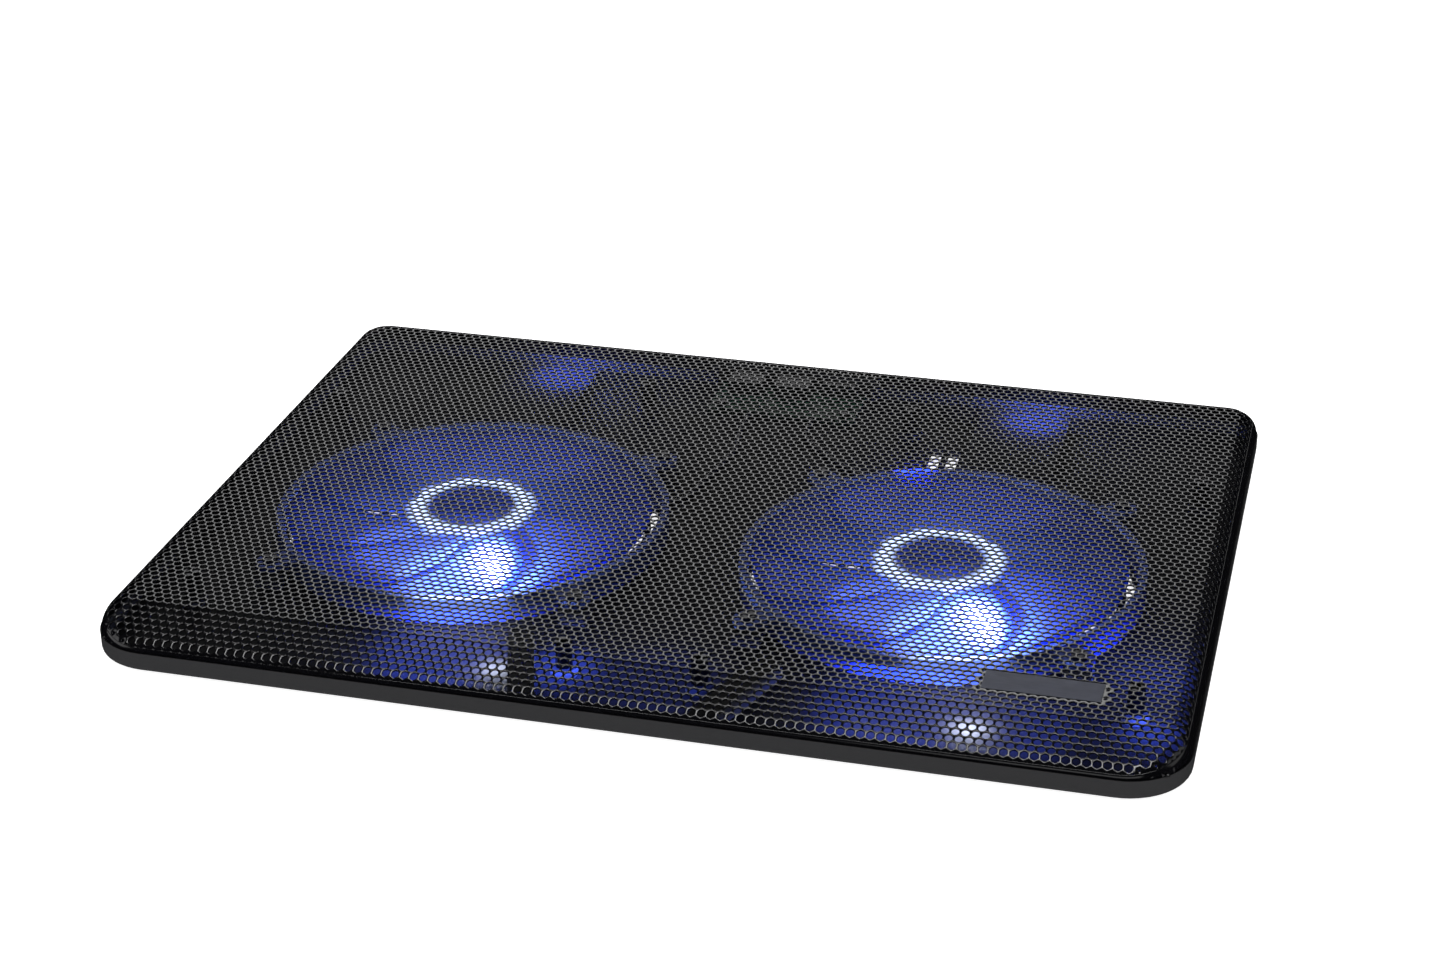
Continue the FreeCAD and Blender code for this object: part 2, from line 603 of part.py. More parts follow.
def rotor(side, x):
    """Hub cap turned from a profile, with broad twisted blades patterned round it."""
    body = new_body("rotor_body_" + side)
    profile = outline(new_sketch(body, "hub_profile_" + side, "XZ_Plane"), [
        ("shaft_radius", "hub_boss_bottom"), ("hub_boss", "hub_boss_bottom"),
        ("hub_boss", "hub_top - hub_roof"),
        ("hub_radius - hub_wall", "hub_top - hub_roof"), ("hub_radius - hub_wall", "hub_bottom"),
        ("hub_radius", "hub_bottom"), ("hub_radius", "hub_top"), ("0", "hub_top"),
        ("0", "shaft_top"), ("shaft_radius", "shaft_top")])
    hub = body.newObject("PartDesign::Revolution", "hub_" + side)
    hub.Profile = profile
    hub.ReferenceAxis = (profile, ["V_Axis"])
    hub.Angle = 360
    doc.recompute()
    sections = []
    for end, offset, chord in (("root", "hub_radius - overlap", "blade_root_chord"),
                               ("tip", "blade_tip", "blade_tip_chord")):
        half = "(%s) / 2" % chord
        corners = [("-" + half, "blade_bottom"), ("-" + half + " + blade_edge", "blade_bottom"),
                   (half, "blade_top - blade_thickness"), (half, "blade_top"),
                   (half + " - blade_edge", "blade_top"), ("-" + half, "blade_bottom + blade_thickness")]
        sections.append(outline(new_sketch(body, "blade_%s_%s" % (end, side), "YZ_Plane", offset), corners))
    blade = body.newObject("PartDesign::AdditiveLoft", "blade_" + side)
    blade.Profile = sections[0]
    blade.Sections = [sections[1]]
    blade.Ruled = True
    doc.recompute()
    pattern = body.newObject("PartDesign::PolarPattern", "blades_" + side)
    pattern.Originals = [blade]
    pattern.Axis = (origin_axis(body), [""])
    pattern.Angle = 360
    bind(pattern, Occurrences="blade_count")
    body.Tip = pattern
    place(body, (x, "fan_y", "0"))
    return keep(body, "rotor_" + side)


def origin_axis(body):
    return next(axis for axis in body.Origin.OriginFeatures if axis.Role == "Z_Axis")


def rotor_magnet(side, x):
    magnet = tube("magnet_" + side, "magnet_inner", "hub_radius - hub_wall - slip", (x, "fan_y"),
                  "magnet_bottom", "magnet_top")
    return keep(magnet, "rotor_magnet_" + side)


def rotor_shaft(side, x):
    centre = (x, "fan_y")
    shaft = rod("shaft_rod_" + side, "shaft_radius", centre, "shaft_bottom", "shaft_top")
    groove = tube("shaft_groove_" + side, "shaft_radius - groove_depth", "shaft_radius + overlap", centre,
                  "groove_bottom", "groove_top")
    return keep(cut("shaft_" + side, shaft, groove), "rotor_shaft_" + side)


def shaft_clip(side, x):
    """An open ring in the shaft's groove that keeps the rotor from lifting off."""
    ring = tube("clip_ring_" + side, "shaft_radius - groove_depth + slip", "clip_outer", (x, "fan_y"),
                "groove_bottom + slip", "groove_top - slip")
    mouth = radial_bar("clip_mouth_" + side, (x, "fan_y"), 0, "0", "clip_outer + overlap", "clip_mouth",
                       "groove_bottom - overlap", "groove_top + overlap")
    return keep(cut("clip_" + side, ring, mouth), "shaft_clip_" + side)


# ---------------------------------------------------------------- fan leads

def rounded_path(points, reach):
    """Straight runs joined by tangent arcs that start at most a given reach before each corner."""
    edges = []
    start = points[0]
    for before, corner, after in zip(points, points[1:], points[2:]):
        into = (corner - before).normalize()
        away = (after - corner).normalize()
        turn = into.getAngle(away)
        trim = min(reach, TRIM_SHARE * (corner - before).Length, TRIM_SHARE * (after - corner).Length)
        first = corner - into * trim
        last = corner + away * trim
        bisector = (away - into).normalize()
        radius = trim / math.tan(turn / 2)
        middle = corner + bisector * (math.hypot(radius, trim) - radius)
        edges.append(Part.LineSegment(start, first).toShape())
        edges.append(Part.Arc(first, middle, last).toShape())
        start = last
    edges.append(Part.LineSegment(start, points[-1]).toShape())
    return Part.Wire(edges)


def fan_lead(side, x):
    """The two-core lead from the motor, along its strut, to the control board."""
    angle = math.radians(WIRE_STRUT[side])
    height = number("wire_height")
    centre = FreeCAD.Vector(number(x), number("fan_y"), height)
    outward = FreeCAD.Vector(math.cos(angle), math.sin(angle), 0)
    end_x = math.copysign(number("lead_x"), number(x))
    points = [centre + outward * number("wire_start"),
              centre + outward * number("ring_outer + lead_clear")]
    points += [FreeCAD.Vector(LEAD_TURN[side], number("vent_y - vent_half_y"), height),
               FreeCAD.Vector(end_x, number("board_front - lead_rise"), height),
               FreeCAD.Vector(end_x, number("board_front"), height)]
    path = rounded_path(points, number("lead_bend"))
    circle = Part.Wire(Part.Circle(points[0], outward, number("wire_radius")).toShape())
    lead = doc.addObject("Part::Feature", "lead_" + side)
    lead.Shape = path.makePipeShell([circle], True, False)
    doc.recompute()
    print("lead", side, "length", round(path.Length, 1), "volume over section",
          round(lead.Shape.Volume / (math.pi * number("wire_radius") ** 2), 1))
    return keep(lead, "fan_lead_" + side)


# ---------------------------------------------------------------- control board, sockets, switch

def control_board():
    board_top = "board_bottom + board_thickness"
    board = centred_box("board_plate", ("0", "(board_front + board_rear) / 2"),
                        ("board_half", "(board_rear - board_front) / 2"), "board_bottom", board_top)
    holes = [rod("board_screw_hole_%d" % index, "board_screw_shank + window_gap", spot,
                 "board_bottom - overlap", board_top + " + overlap")
             for index, spot in enumerate(board_rests())]
    return keep(cut("board", board, *holes), "control_board")


def board_screws():
    low = "board_bottom + board_thickness"
    screws = []
    for index, spot in enumerate(board_rests()[:2]):
        head = rod("board_screw_head_%d" % index, "board_screw_head", spot, low, low + " + head_height")
        shank = rod("board_screw_shank_%d" % index, "board_screw_shank", spot, "board_screw_tip", low)
        screws.append(fuse("board_screw_%d" % index, head, shank))
    return keep(group("board_screw_group", screws), "board_screws")


def usb_socket(side):
    """The folded steel shell of a socket, open to the rear."""
    x = "usb_%s_x" % side
    low = "board_bottom + board_thickness"
    high = low + " + usb_height"
    middle = "port_face - usb_depth / 2"
    shell = centred_box("usb_shell_" + side, (x, middle), ("usb_width / 2", "usb_depth / 2"), low, high)
    inside = centred_box("usb_inside_" + side, (x, middle + " + usb_wall"),
                         ("usb_width / 2 - usb_wall", "usb_depth / 2"), low + " + usb_wall",
                         high + " - usb_wall")
    return keep(cut("usb_" + side, shell, inside), "usb_socket_" + side)


def usb_insert(side):
    """The insulator inside a socket: a rear block with the contact tongue."""
    x = "usb_%s_x" % side
    low = "board_bottom + board_thickness + usb_wall"
    high = "board_bottom + board_thickness + usb_height - usb_wall"
    back = "port_face - usb_depth + usb_wall"
    block = centred_box("insert_block_" + side, (x, back + " + insert_back / 2"),
                        ("usb_width / 2 - usb_wall - slip", "insert_back / 2"), low, high)
    tongue = centred_box("insert_tongue_" + side, (x, back + " + overlap + tongue_length / 2"),
                         ("tongue_width / 2", "tongue_length / 2"),
                         high + " - tongue_gap - tongue_thickness", high + " - tongue_gap")
    return keep(fuse("insert_" + side, block, tongue), "usb_insert_" + side)


def switch_body():
    low = "board_bottom + board_thickness"
    body = centred_box("switch_block", ("switch_x", "switch_face - switch_depth / 2"),
                       ("switch_width / 2", "switch_depth / 2"), low, low + " + switch_height")
    slot = centred_box("switch_slot", ("switch_x", "switch_face - (switch_slot_depth - overlap) / 2"),
                       ("knob_width / 2 + knob_travel / 2 + slide_gap",
                        "(switch_slot_depth + overlap) / 2"),
                       "knob_low - slide_gap", "knob_low + knob_height + slide_gap")
    return keep(cut("switch_cut", body, slot), "switch_body")


def switch_knob():
    x = "switch_x - knob_travel / 2"
    root = "(switch_face - knob_root)"
    tip = "(depth / 2 - knob_shy)"
    knob = centred_box("knob_block", (x, "(%s + %s) / 2" % (root, tip)),
                       ("knob_width / 2", "(%s - %s) / 2" % (tip, root)),
                       "knob_low", "knob_low + knob_height")
    return keep(knob, "switch_knob")


# ---------------------------------------------------------------- flip-out feet

def flip_foot(side, x):
    """A flat foot folded forward into its pocket, with a round knuckle on the hinge pin."""
    half = "foot_half"
    blade = centred_box("foot_blade_" + side, (x, "(foot_tip_y + foot_hinge_y) / 2"),
                        (half, "(foot_hinge_y - foot_tip_y) / 2"), "foot_low", "foot_high")
    knuckle = cross_rod("foot_knuckle_" + side, "foot_knuckle", "2 * foot_half",
                        ("(%s) - foot_half" % x, "foot_hinge_y", "foot_hinge_z"))
    bore = cross_rod("foot_bore_" + side, "pin_radius + bearing_play", "pin_length", pin_start(x))
    hollow = centred_box("foot_hollow_" + side, (x, "(foot_tip_y + foot_hinge_y) / 2 - hollow_shift"),
                         (half + " - foot_rim", "(foot_hinge_y - foot_tip_y) / 2 - 2 * foot_rim"),
                         "foot_low + foot_skin", "foot_high + overlap")
    return keep(cut("foot_" + side, fuse("foot_whole_" + side, blade, knuckle), bore, hollow),
                "flip_foot_" + side)


def foot_pad(side, x):
    cap = centred_box("foot_pad_block_" + side, (x, "foot_tip_y - pad_depth / 2"),
                      ("foot_half - overlap", "pad_depth / 2"), "foot_low + slide_gap",
                      "foot_high - slide_gap")
    return keep(cap, "foot_pad_" + side)


def hinge_pin(side, x):
    return keep(cross_rod("pin_" + side, "pin_radius", "pin_length", pin_start(x)), "hinge_pin_" + side)


# ---------------------------------------------------------------- build, check and write

def build():
    tray()
    mesh_panel()
    name_plate()
    standoffs()
    case_screws()
    rubber_feet()
    for side, x in FANS:
        for make in (fan_frame, fan_led, bearing_sleeve, stator_core, stator_coils, fan_board, rotor,
                     rotor_magnet, rotor_shaft, shaft_clip, fan_lead):
            make(side, x)
    fan_screws()
    control_board()
    board_screws()
    for side in ("left", "right"):
        usb_socket(side)
        usb_insert(side)
    switch_body()
    switch_knob()
    for side, x in FEET:
        for make in (flip_foot, foot_pad, hinge_pin):
            make(side, x)
    doc.recompute()


def check():
    failed = [piece.Label for piece in doc.Objects if {"Invalid", "Error"} & set(piece.State)]
    failed += [piece.Label for piece in sub_parts if piece.Shape.isNull() or not piece.Shape.isValid()
               or not piece.Shape.Solids]
    if failed:
        raise ValueError("failed: " + ", ".join(failed))


def write():
    for piece in sub_parts:
        piece.Shape.exportStep("parts/%s.step" % piece.Label)
        print("%-24s %2d solids %10.1f mm3" % (piece.Label, len(piece.Shape.Solids), piece.Shape.Volume))


build()
check()
write()
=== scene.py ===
"""Looks of the laptop cooling pad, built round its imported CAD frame."""

import math

import bpy
import numpy as np
from mathutils import Matrix, Vector


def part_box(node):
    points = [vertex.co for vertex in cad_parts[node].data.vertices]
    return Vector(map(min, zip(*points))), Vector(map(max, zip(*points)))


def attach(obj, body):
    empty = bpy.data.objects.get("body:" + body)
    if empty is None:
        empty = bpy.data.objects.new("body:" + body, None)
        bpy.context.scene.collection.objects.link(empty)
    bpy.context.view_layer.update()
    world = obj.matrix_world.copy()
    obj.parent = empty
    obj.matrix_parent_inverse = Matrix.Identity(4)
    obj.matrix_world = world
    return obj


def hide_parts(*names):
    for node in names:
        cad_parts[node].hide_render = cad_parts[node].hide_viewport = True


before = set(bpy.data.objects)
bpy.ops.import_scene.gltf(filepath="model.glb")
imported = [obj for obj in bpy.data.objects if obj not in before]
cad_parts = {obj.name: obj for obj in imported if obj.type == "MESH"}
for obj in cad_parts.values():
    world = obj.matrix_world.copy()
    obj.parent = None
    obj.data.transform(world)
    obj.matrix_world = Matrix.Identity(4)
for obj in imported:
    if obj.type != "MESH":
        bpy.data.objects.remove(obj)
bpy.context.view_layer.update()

MM = 0.001
HALF_TURN = math.pi
TINY = 1e-9
WELD_DECIMALS = 4
SIDES = ("left", "right")
# The corners of the pad, anticlockwise from the front right, as the signs of x and y.
CORNER_SIGNS = ((1, -1), (1, 1), (-1, 1), (-1, -1))


def box_mm(node):
    """The lowest and the highest corner of a CAD node's box, in millimetres."""
    return [np.array(corner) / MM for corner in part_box(node)]


# The sheet steel panel, in millimetres: its outline, its roll, its fold and the slope in front of it.
# The roll starts ROLL_RADIUS in from the rim where the sheet drops fully, and LEAST_REACH in where it
# doesn't drop. The sheet's tilt is measured over TILT_STEP.
PANEL_LOW, PANEL_HIGH = box_mm("mesh_panel")
PANEL_HALF_WIDTH = PANEL_HIGH[0]
PANEL_HALF_DEPTH = PANEL_HIGH[1]
PANEL_TOP = PANEL_HIGH[2]
FRONT_CORNER = 20.5
REAR_CORNER = 11.5
ROLL_RADIUS = 7.4
ROLL_START = PANEL_TOP - ROLL_RADIUS
ROLL_ARC = ROLL_RADIUS * HALF_TURN / 2
FLAT_EXTRA = ROLL_ARC - ROLL_RADIUS
FOLD_FROM_FRONT = 20.0
FOLD_Y = FOLD_FROM_FRONT - PANEL_HALF_DEPTH
SLOPE = 0.28
FOLD_SOFTNESS = 0.5
LEAST_REACH = 2.85
SHEET = 0.5
TILT_STEP = 0.02

# The rows of holes are bent round the roll at the sides and rear, and laid straight down onto it at the
# front. They change over where the outline's outward direction, as a share, turns this far to the front.
FRONTAL_START = 0.2
FRONTAL_SPAN = 0.7

# The staggered holes. Their edges are rounded over EDGE_ROUND, and the junctions between them stand
# WEB_CROWN proud. A cell too near the rim or the name plate has only the plug's tiny hole. Cells are kept
# as far as KEPT_UNDER_RIM, and none of their points is nearer the sheet's edge than LEAST_INSIDE.
HOLE_PITCH = 3.06
HOLE_RADIUS = 1.24
PLUG_RADIUS = 0.4
HOLE_MARGIN = 0.25
KEPT_UNDER_RIM = HOLE_PITCH / 3
ROW_STEP = HOLE_PITCH * math.sin(HALF_TURN / 3)
CELL_SIDES = 12
EDGE_ROUND = 0.1
WEB_CROWN = 0.05
LEAST_INSIDE = 0.05
PANEL_ZONES = 7

# The plain rim, thicker than the sheet by RIM_PROUD, and its notch for the ports at the rear.
SIDE_RIM = 1.6
REAR_RIM = 1.1
FRONT_RIM = 0.7
RIM_PROUD = 0.03
RIM_STEPS = 12
CORNER_STEPS = 17
SIDE_STEPS = 60
NOTCH_HALF = 32.3
NOTCH_TOP = 13.9
NOTCH_GAP = 0.01
NOTCH_STEPS = 12

# The name plate's recess in the sheet, narrower than the plate by PLATE_BORDER all round.
PLATE_LOW, PLATE_HIGH = box_mm("name_plate")
PLATE_RECESS = 0.35
PLATE_BORDER = 0.1

# The rotors' blades, in millimetres and radians. They are rooted BLADE_ROOT deep in the hub.
BLADES = 9
BLADE_ROOT = 0.6
BLADE_TIP = 62.4
BLADE_SHEET = 1.1
BLADE_ABOVE_BASE = 2.6
BLADE_BELOW_TOP = 0.8
BLADE_ROWS = 16
BLADE_COLUMNS = 9
BLADE_WIDTH = math.radians(44)
BLADE_TAPER = 0.02
BLADE_SWEEP = math.radians(-26)
SWEEP_POWER = 1.4
BLADE_CAMBER = 0.7
TIP_DROP = 0.5

# The rotors' hubs: a cup with a thin wall, and a shallow dish with a raised button on top. Depths are
# below the hub's top.
HUB_RADIUS = 20.5
HUB_WALL = 1.6
HUB_LIP_STEPS = 7
HUB_SIDES = 96
AXIS_HOLE = 0.02
DISH_RADIUS = HUB_RADIUS - 2 * HUB_WALL
DISH_DEPTH = 0.5
BUTTON_RADIUS = 9.0
BUTTON_FOOT_DEPTH = 0.7
BUTTON_TOP_RADIUS = 8.2
BUTTON_EDGE_DEPTH = 0.2
BUTTON_TOP_DEPTH = 0.1
CEILING_DEPTH = 1.6
CEILING_EDGE_DEPTH = 2.0
CEILING_CORNER_DEPTH = 3.0

# The light's colours, and how far above a rotor it starts, in millimetres.
LED_WHITE = (0.85, 0.92, 1.0)
LED_BLUE = (0.06, 0.12, 1.0)
GLOW_GAP = 1.5
# The LED's light on a fan, in patches: distance from the fan's axis, bearing in degrees, length along
# that bearing, width across it, and watts.
FAN_GLOWS = (
    (44, -61, 26, 3, 2.40),
    (44, -64, 34, 14, 0.30),
    (48, -74, 40, 42, 0.36),
    (36, -105, 34, 40, 0.07),
    (38, -150, 44, 44, 0.008),
    (42, -25, 36, 36, 0.014),
    (40, 100, 40, 80, 0.024),
)
# Light past the fans, in round patches: x, y, z, width and watts.
BLUE_SPILLS = (
    (-64, -98, 10, 44, 0.30),
    (-24, -98, 9, 22, 0.14),
    (8, -98, 10, 40, 0.05),
    (84, -98, 10, 50, 0.30),
    (122, -98, 10, 34, 0.10),
    (160, -92, 12, 12, 0.08),
    (157, -60, 15, 22, 0.12),
    (-85, 103, 15, 24, 0.30),
    (95, 105, 15, 22, 0.28),
    (60, 52, 15, 14, 0.02),
)
WHITE_SPILLS = (
    (-44, -103, 9, 8, 0.06),
    (107, -103, 9, 8, 0.09),
    (80, -104, 10, 6, 0.02),
    (-64, -82, 14, 34, 0.05),
    (100, -82, 14, 34, 0.05),
)

# The studio, in metres and watts. A soft box's bearing is in degrees clockwise from the rear.
SURROUND = (0.3, 0.3, 0.3)
ROOM = (0.004, 0.004, 0.0044)
FLOOR_HALF = 4.0
BOX_DISTANCE = 2.6
BOX_ELEVATION = math.radians(28)
BOX_SIZE = (1.9, 1.3)
SOFT_BOXES = (
    ("rear_box", -15, 18.0),
    ("left_box", -105, 9.0),
    ("right_box", 75, 5.0),
    ("front_box", 165, 8.0),
)
TOP_BOX_PLACE = (-0.1, 0.1, 2.0)
TOP_BOX_AIM = (-0.1, 0.1, 0)
TOP_BOX_SIZE = (1.4, 0.45)
TOP_BOX_WATTS = 20.0

# The camera, in metres, radians and millimetres of lens.
CAMERA_AIM = Vector((-0.00515, 0.03255, 0.010))
CAMERA_DISTANCE = 0.9722
CAMERA_TURN = math.radians(14.81)
CAMERA_TILT = math.radians(26.42)
CAMERA_ROLL = math.radians(-0.51)
CAMERA_LENS = 68.49


# ---------------------------------------------------------------- materials


class Look:
    """A material being built: its node tree, its main shader and short ways to add nodes."""

    # Noise is seldom outside this range.
    NOISE_LOW = 0.25
    NOISE_HIGH = 0.75

    def __init__(self, name, colour, roughness, metallic=0.0):
        self.material = bpy.data.materials.new(name)
        self.material.use_nodes = True
        self.nodes = self.material.node_tree.nodes
        self.links = self.material.node_tree.links
        self.shader = self.nodes["Principled BSDF"]
        self.output = self.nodes["Material Output"]
        self.colour = colour
        self.roughness = roughness
        self.set("Base Color", (*colour, 1.0))
        self.set("Roughness", roughness)
        self.set("Metallic", metallic)

    def set(self, socket, value):
        """Sets a constant of the main shader."""
        self.shader.inputs[socket].default_value = value

    def link(self, start, end):
        """Joins one node's output to another's input."""
        self.links.new(start, end)

    def place(self, stretch=(1.0, 1.0, 1.0)):
        """Where a point is on the object, stretched along each axis."""
        coordinates = self.nodes.new("ShaderNodeTexCoord")
        mapping = self.nodes.new("ShaderNodeMapping")
        mapping.inputs["Scale"].default_value = stretch
        self.link(coordinates.outputs["Object"], mapping.inputs["Vector"])
        return mapping.outputs["Vector"]

    def noise(self, grain_mm, detail=3.0, stretch=(1.0, 1.0, 1.0)):
        """Noise whose grains are about this many millimetres across."""
        texture = self.nodes.new("ShaderNodeTexNoise")
        texture.inputs["Scale"].default_value = 1.0 / (grain_mm * MM)
        texture.inputs["Detail"].default_value = detail
        self.link(self.place(stretch), texture.inputs["Vector"])
        return texture.outputs["Fac"]

    def span(self, value, low, high):
        """Turns noise's usual range of values into one from low to high."""
        spread = self.nodes.new("ShaderNodeMapRange")
        spread.inputs["From Min"].default_value = self.NOISE_LOW
        spread.inputs["From Max"].default_value = self.NOISE_HIGH
        spread.inputs["To Min"].default_value = low
        spread.inputs["To Max"].default_value = high
        self.link(value, spread.inputs["Value"])
        return spread.outputs["Result"]

    def ramp(self, value, stops):
        """A colour for each value: stops are (value, (red, green, blue)) from low to high."""
        ramp = self.nodes.new("ShaderNodeValToRGB")
        elements = ramp.color_ramp.elements
        elements[0].position = stops[0][0]
        elements[-1].position = stops[-1][0]
        for position, colour in stops[1:-1]:
            elements.new(position)
        for element, (position, colour) in zip(elements, stops):
            element.color = (*colour, 1.0)
        self.link(value, ramp.inputs["Fac"])
        return ramp.outputs["Color"]

    def mottle(self, grain_mm, amount=0.15):
        """Lets the colour vary a little from place to place."""
        dark = tuple(channel * (1 - amount) for channel in self.colour)
        light = tuple(min(channel * (1 + amount), 1.0) for channel in self.colour)
        colour = self.ramp(self.noise(grain_mm), [(0.3, dark), (0.7, light)])
        self.link(colour, self.shader.inputs["Base Color"])

    def wear(self, grain_mm, spread=0.08, stretch=(1.0, 1.0, 1.0)):
        """Lets the roughness vary from place to place, as handling does."""
        value = self.noise(grain_mm, stretch=stretch)
        rough = self.span(value, self.roughness - spread, self.roughness + spread)
        self.link(rough, self.shader.inputs["Roughness"])

    def bump(self, grain_mm, height_mm, detail=2.0, stretch=(1.0, 1.0, 1.0)):
        """Fine relief of this grain and height."""
        bump = self.nodes.new("ShaderNodeBump")
        bump.inputs["Distance"].default_value = height_mm * MM
        self.link(self.noise(grain_mm, detail, stretch), bump.inputs["Height"])
        self.link(bump.outputs["Normal"], self.shader.inputs["Normal"])

    def clear(self, colour):
        """A shader that lets light straight through, in this colour."""
        shader = self.nodes.new("ShaderNodeBsdfTransparent")
        shader.inputs["Color"].default_value = (*colour, 1.0)
        return shader

    def blend(self, first, second, share=0.5):
        """Mixes two nodes' shaders, with this share of the second."""
        mix = self.nodes.new("ShaderNodeMixShader")
        mix.inputs["Fac"].default_value = share
        self.link(first.outputs[0], mix.inputs[1])
        self.link(second.outputs[0], mix.inputs[2])
        return mix

    def show(self, shader):
        """Makes a node's shader the material's surface."""
        self.link(shader.outputs[0], self.output.inputs["Surface"])


def panel_steel():
    """Gloss black powder coat on perforated sheet."""
    look = Look("panel_steel", (0.0022, 0.0022, 0.003), 0.13)
    look.mottle(6.0, 0.2)
    look.wear(9.0, 0.03)
    look.bump(1.1, 0.008)
    return look.material


def tray_plastic():
    """Satin black ABS with a spark-eroded grain, with painted shade: blackest where it faces up, for the
    shade inside the pad.
    """
    look = Look("tray_plastic", (0.032, 0.032, 0.0335), 0.45)
    look.set("Specular IOR Level", 0.02)
    # Painted shade: faces that point up get a far darker colour than the walls, standing in for the shade
    # inside the pad.
    facing = look.nodes.new("ShaderNodeSeparateXYZ")
    look.link(look.nodes.new("ShaderNodeTexCoord").outputs["Normal"], facing.inputs["Vector"])
    stops = [(0.5, look.colour), (0.8, (0.005, 0.005, 0.0055))]
    look.link(look.ramp(facing.outputs["Z"], stops), look.shader.inputs["Base Color"])
    look.wear(14.0, 0.06)
    look.bump(0.35, 0.02)
    return look.material


def plate_metal():
    """Brushed, anodised aluminium."""
    look = Look("plate_metal", (0.02, 0.023, 0.038), 0.42, metallic=0.85)
    look.mottle(5.0, 0.12)
    look.wear(0.25, 0.08, stretch=(0.04, 1.0, 1.0))
    look.bump(0.2, 0.004, stretch=(0.03, 1.0, 1.0))
    return look.material


def screw_steel():
    """Steel blacked with oxide."""
    look = Look("screw_steel", (0.05, 0.05, 0.055), 0.34, metallic=1.0)
    look.mottle(1.0, 0.1)
    look.wear(0.8, 0.1)
    look.bump(0.3, 0.006)
    return look.material


def rubber():
    """Matt black rubber with a dusty bloom."""
    look = Look("rubber", (0.018, 0.018, 0.019), 0.78)
    look.set("Sheen Weight", 0.15)
    look.mottle(3.0, 0.3)
    look.wear(2.0, 0.08)
    look.bump(0.25, 0.03)
    return look.material


def fan_plastic():
    """Smoky blue clear plastic of the fan frames, lit from inside; its blue colour is partly painted light,
    standing in for the LED's glow in the frames.
    """
    # Painted light: the frames' blue colour also stands in for the LED's blue glow in them.
    look = Look("fan_plastic", (0.026, 0.045, 0.2), 0.5)
    look.set("Specular IOR Level", 0.15)
    look.mottle(7.0)
    look.wear(6.0, 0.06)
    look.bump(0.8, 0.01)
    return look.material


def led_lens():
    """The lamp's clear dome, white-hot with blue edges."""
    look = Look("led_lens", (0.7, 0.8, 1.0), 0.15)
    look.link(
        look.ramp(look.noise(2.0), [(0.2, (0.35, 0.45, 1.0)), (0.6, (0.85, 0.9, 1.0))]),
        look.shader.inputs["Emission Color"],
    )
    look.set("Emission Strength", 30.0)
    look.wear(1.0, 0.05)
    return look.material


def bronze():
    """Sintered bronze, porous and oily."""
    look = Look("bronze", (0.42, 0.24, 0.1), 0.38, metallic=1.0)
    look.mottle(0.8, 0.25)
    look.wear(1.0, 0.1)
    look.bump(0.2, 0.015)
    return look.material


def magnet():
    """Bonded ferrite, dark grey and grainy."""
    look = Look("magnet", (0.05, 0.048, 0.046), 0.6)
    look.mottle(1.2, 0.25)
    look.wear(1.5, 0.1)
    look.bump(0.3, 0.02)
    return look.material


def core_iron():
    """Stacked electrical steel, its laminations edge on."""
    look = Look("core_iron", (0.32, 0.32, 0.34), 0.4, metallic=1.0)
    look.mottle(2.0, 0.15)
    look.wear(0.35, 0.1, stretch=(0.05, 0.05, 1.0))
    look.bump(0.35, 0.03, stretch=(0.03, 0.03, 1.0))
    return look.material


def copper_wire():
    """Enamelled copper winding, its turns showing as fine ribs."""
    look = Look("copper_wire", (0.62, 0.2, 0.07), 0.28, metallic=1.0)
    look.mottle(1.5, 0.2)
    look.wear(0.3, 0.08, stretch=(0.1, 0.1, 1.0))
    look.bump(0.3, 0.06, stretch=(0.05, 0.05, 1.0))
    return look.material


def circuit_board():
    """Dark green solder mask with lighter tracks under it."""
    look = Look("circuit_board", (0.006, 0.02, 0.012), 0.4)
    look.set("Specular IOR Level", 0.1)
    tracks = look.noise(1.6, detail=0.0, stretch=(0.25, 1.0, 1.0))
    stops = [(0.47, (0.005, 0.016, 0.01)), (0.5, (0.012, 0.04, 0.022))]
    look.link(look.ramp(tracks, stops), look.shader.inputs["Base Color"])
    look.wear(3.0, 0.06)
    look.bump(1.2, 0.01)
    return look.material


def socket_steel():
    """Nickel-plated steel shell, painted far darker than nickel as painted shade for the shade under the
    panel.
    """
    # Painted shade: the colour is kept near black for the shade under the panel.
    look = Look("socket_steel", (0.06, 0.06, 0.063), 0.42, metallic=1.0)
    look.mottle(2.0, 0.08)
    look.wear(1.2, 0.08)
    look.bump(0.5, 0.006)
    return look.material


def insert_plastic():
    """Black nylon inside the sockets."""
    look = Look("insert_plastic", (0.022, 0.022, 0.024), 0.45)
    look.mottle(1.5, 0.06)
    look.wear(1.5, 0.06)
    look.bump(0.3, 0.01)
    return look.material


def switch_metal():
    """Pressed steel switch can, dulled by handling, and painted darker than steel as painted shade for the
    shade under the panel.
    """
    # Painted shade: the colour is darkened for the shade under the panel.
    look = Look("switch_metal", (0.08, 0.08, 0.083), 0.42, metallic=1.0)
    look.mottle(2.0, 0.1)
    look.wear(1.2, 0.1)
    look.bump(0.4, 0.008)
    return look.material


def knob_plastic():
    """Black acetal with a faint mould grain."""
    look = Look("knob_plastic", (0.03, 0.03, 0.032), 0.35)
    look.mottle(1.5)
    look.wear(1.5, 0.06)
    look.bump(0.25, 0.015)
    return look.material


def lead_sleeve():
    """Black PVC sleeve, slightly wrinkled along its length."""
    look = Look("lead_sleeve", (0.02, 0.02, 0.022), 0.4)
    look.mottle(3.0, 0.2)
    look.wear(3.0, 0.08)
    look.bump(1.0, 0.03)
    return look.material


def shaft_steel():
    """Ground steel."""
    look = Look("shaft_steel", (0.6, 0.6, 0.62), 0.18, metallic=1.0)
    look.mottle(1.5, 0.06)
    look.wear(0.3, 0.06, stretch=(1.0, 1.0, 0.1))
    look.bump(0.15, 0.003, stretch=(1.0, 1.0, 0.1))
    return look.material


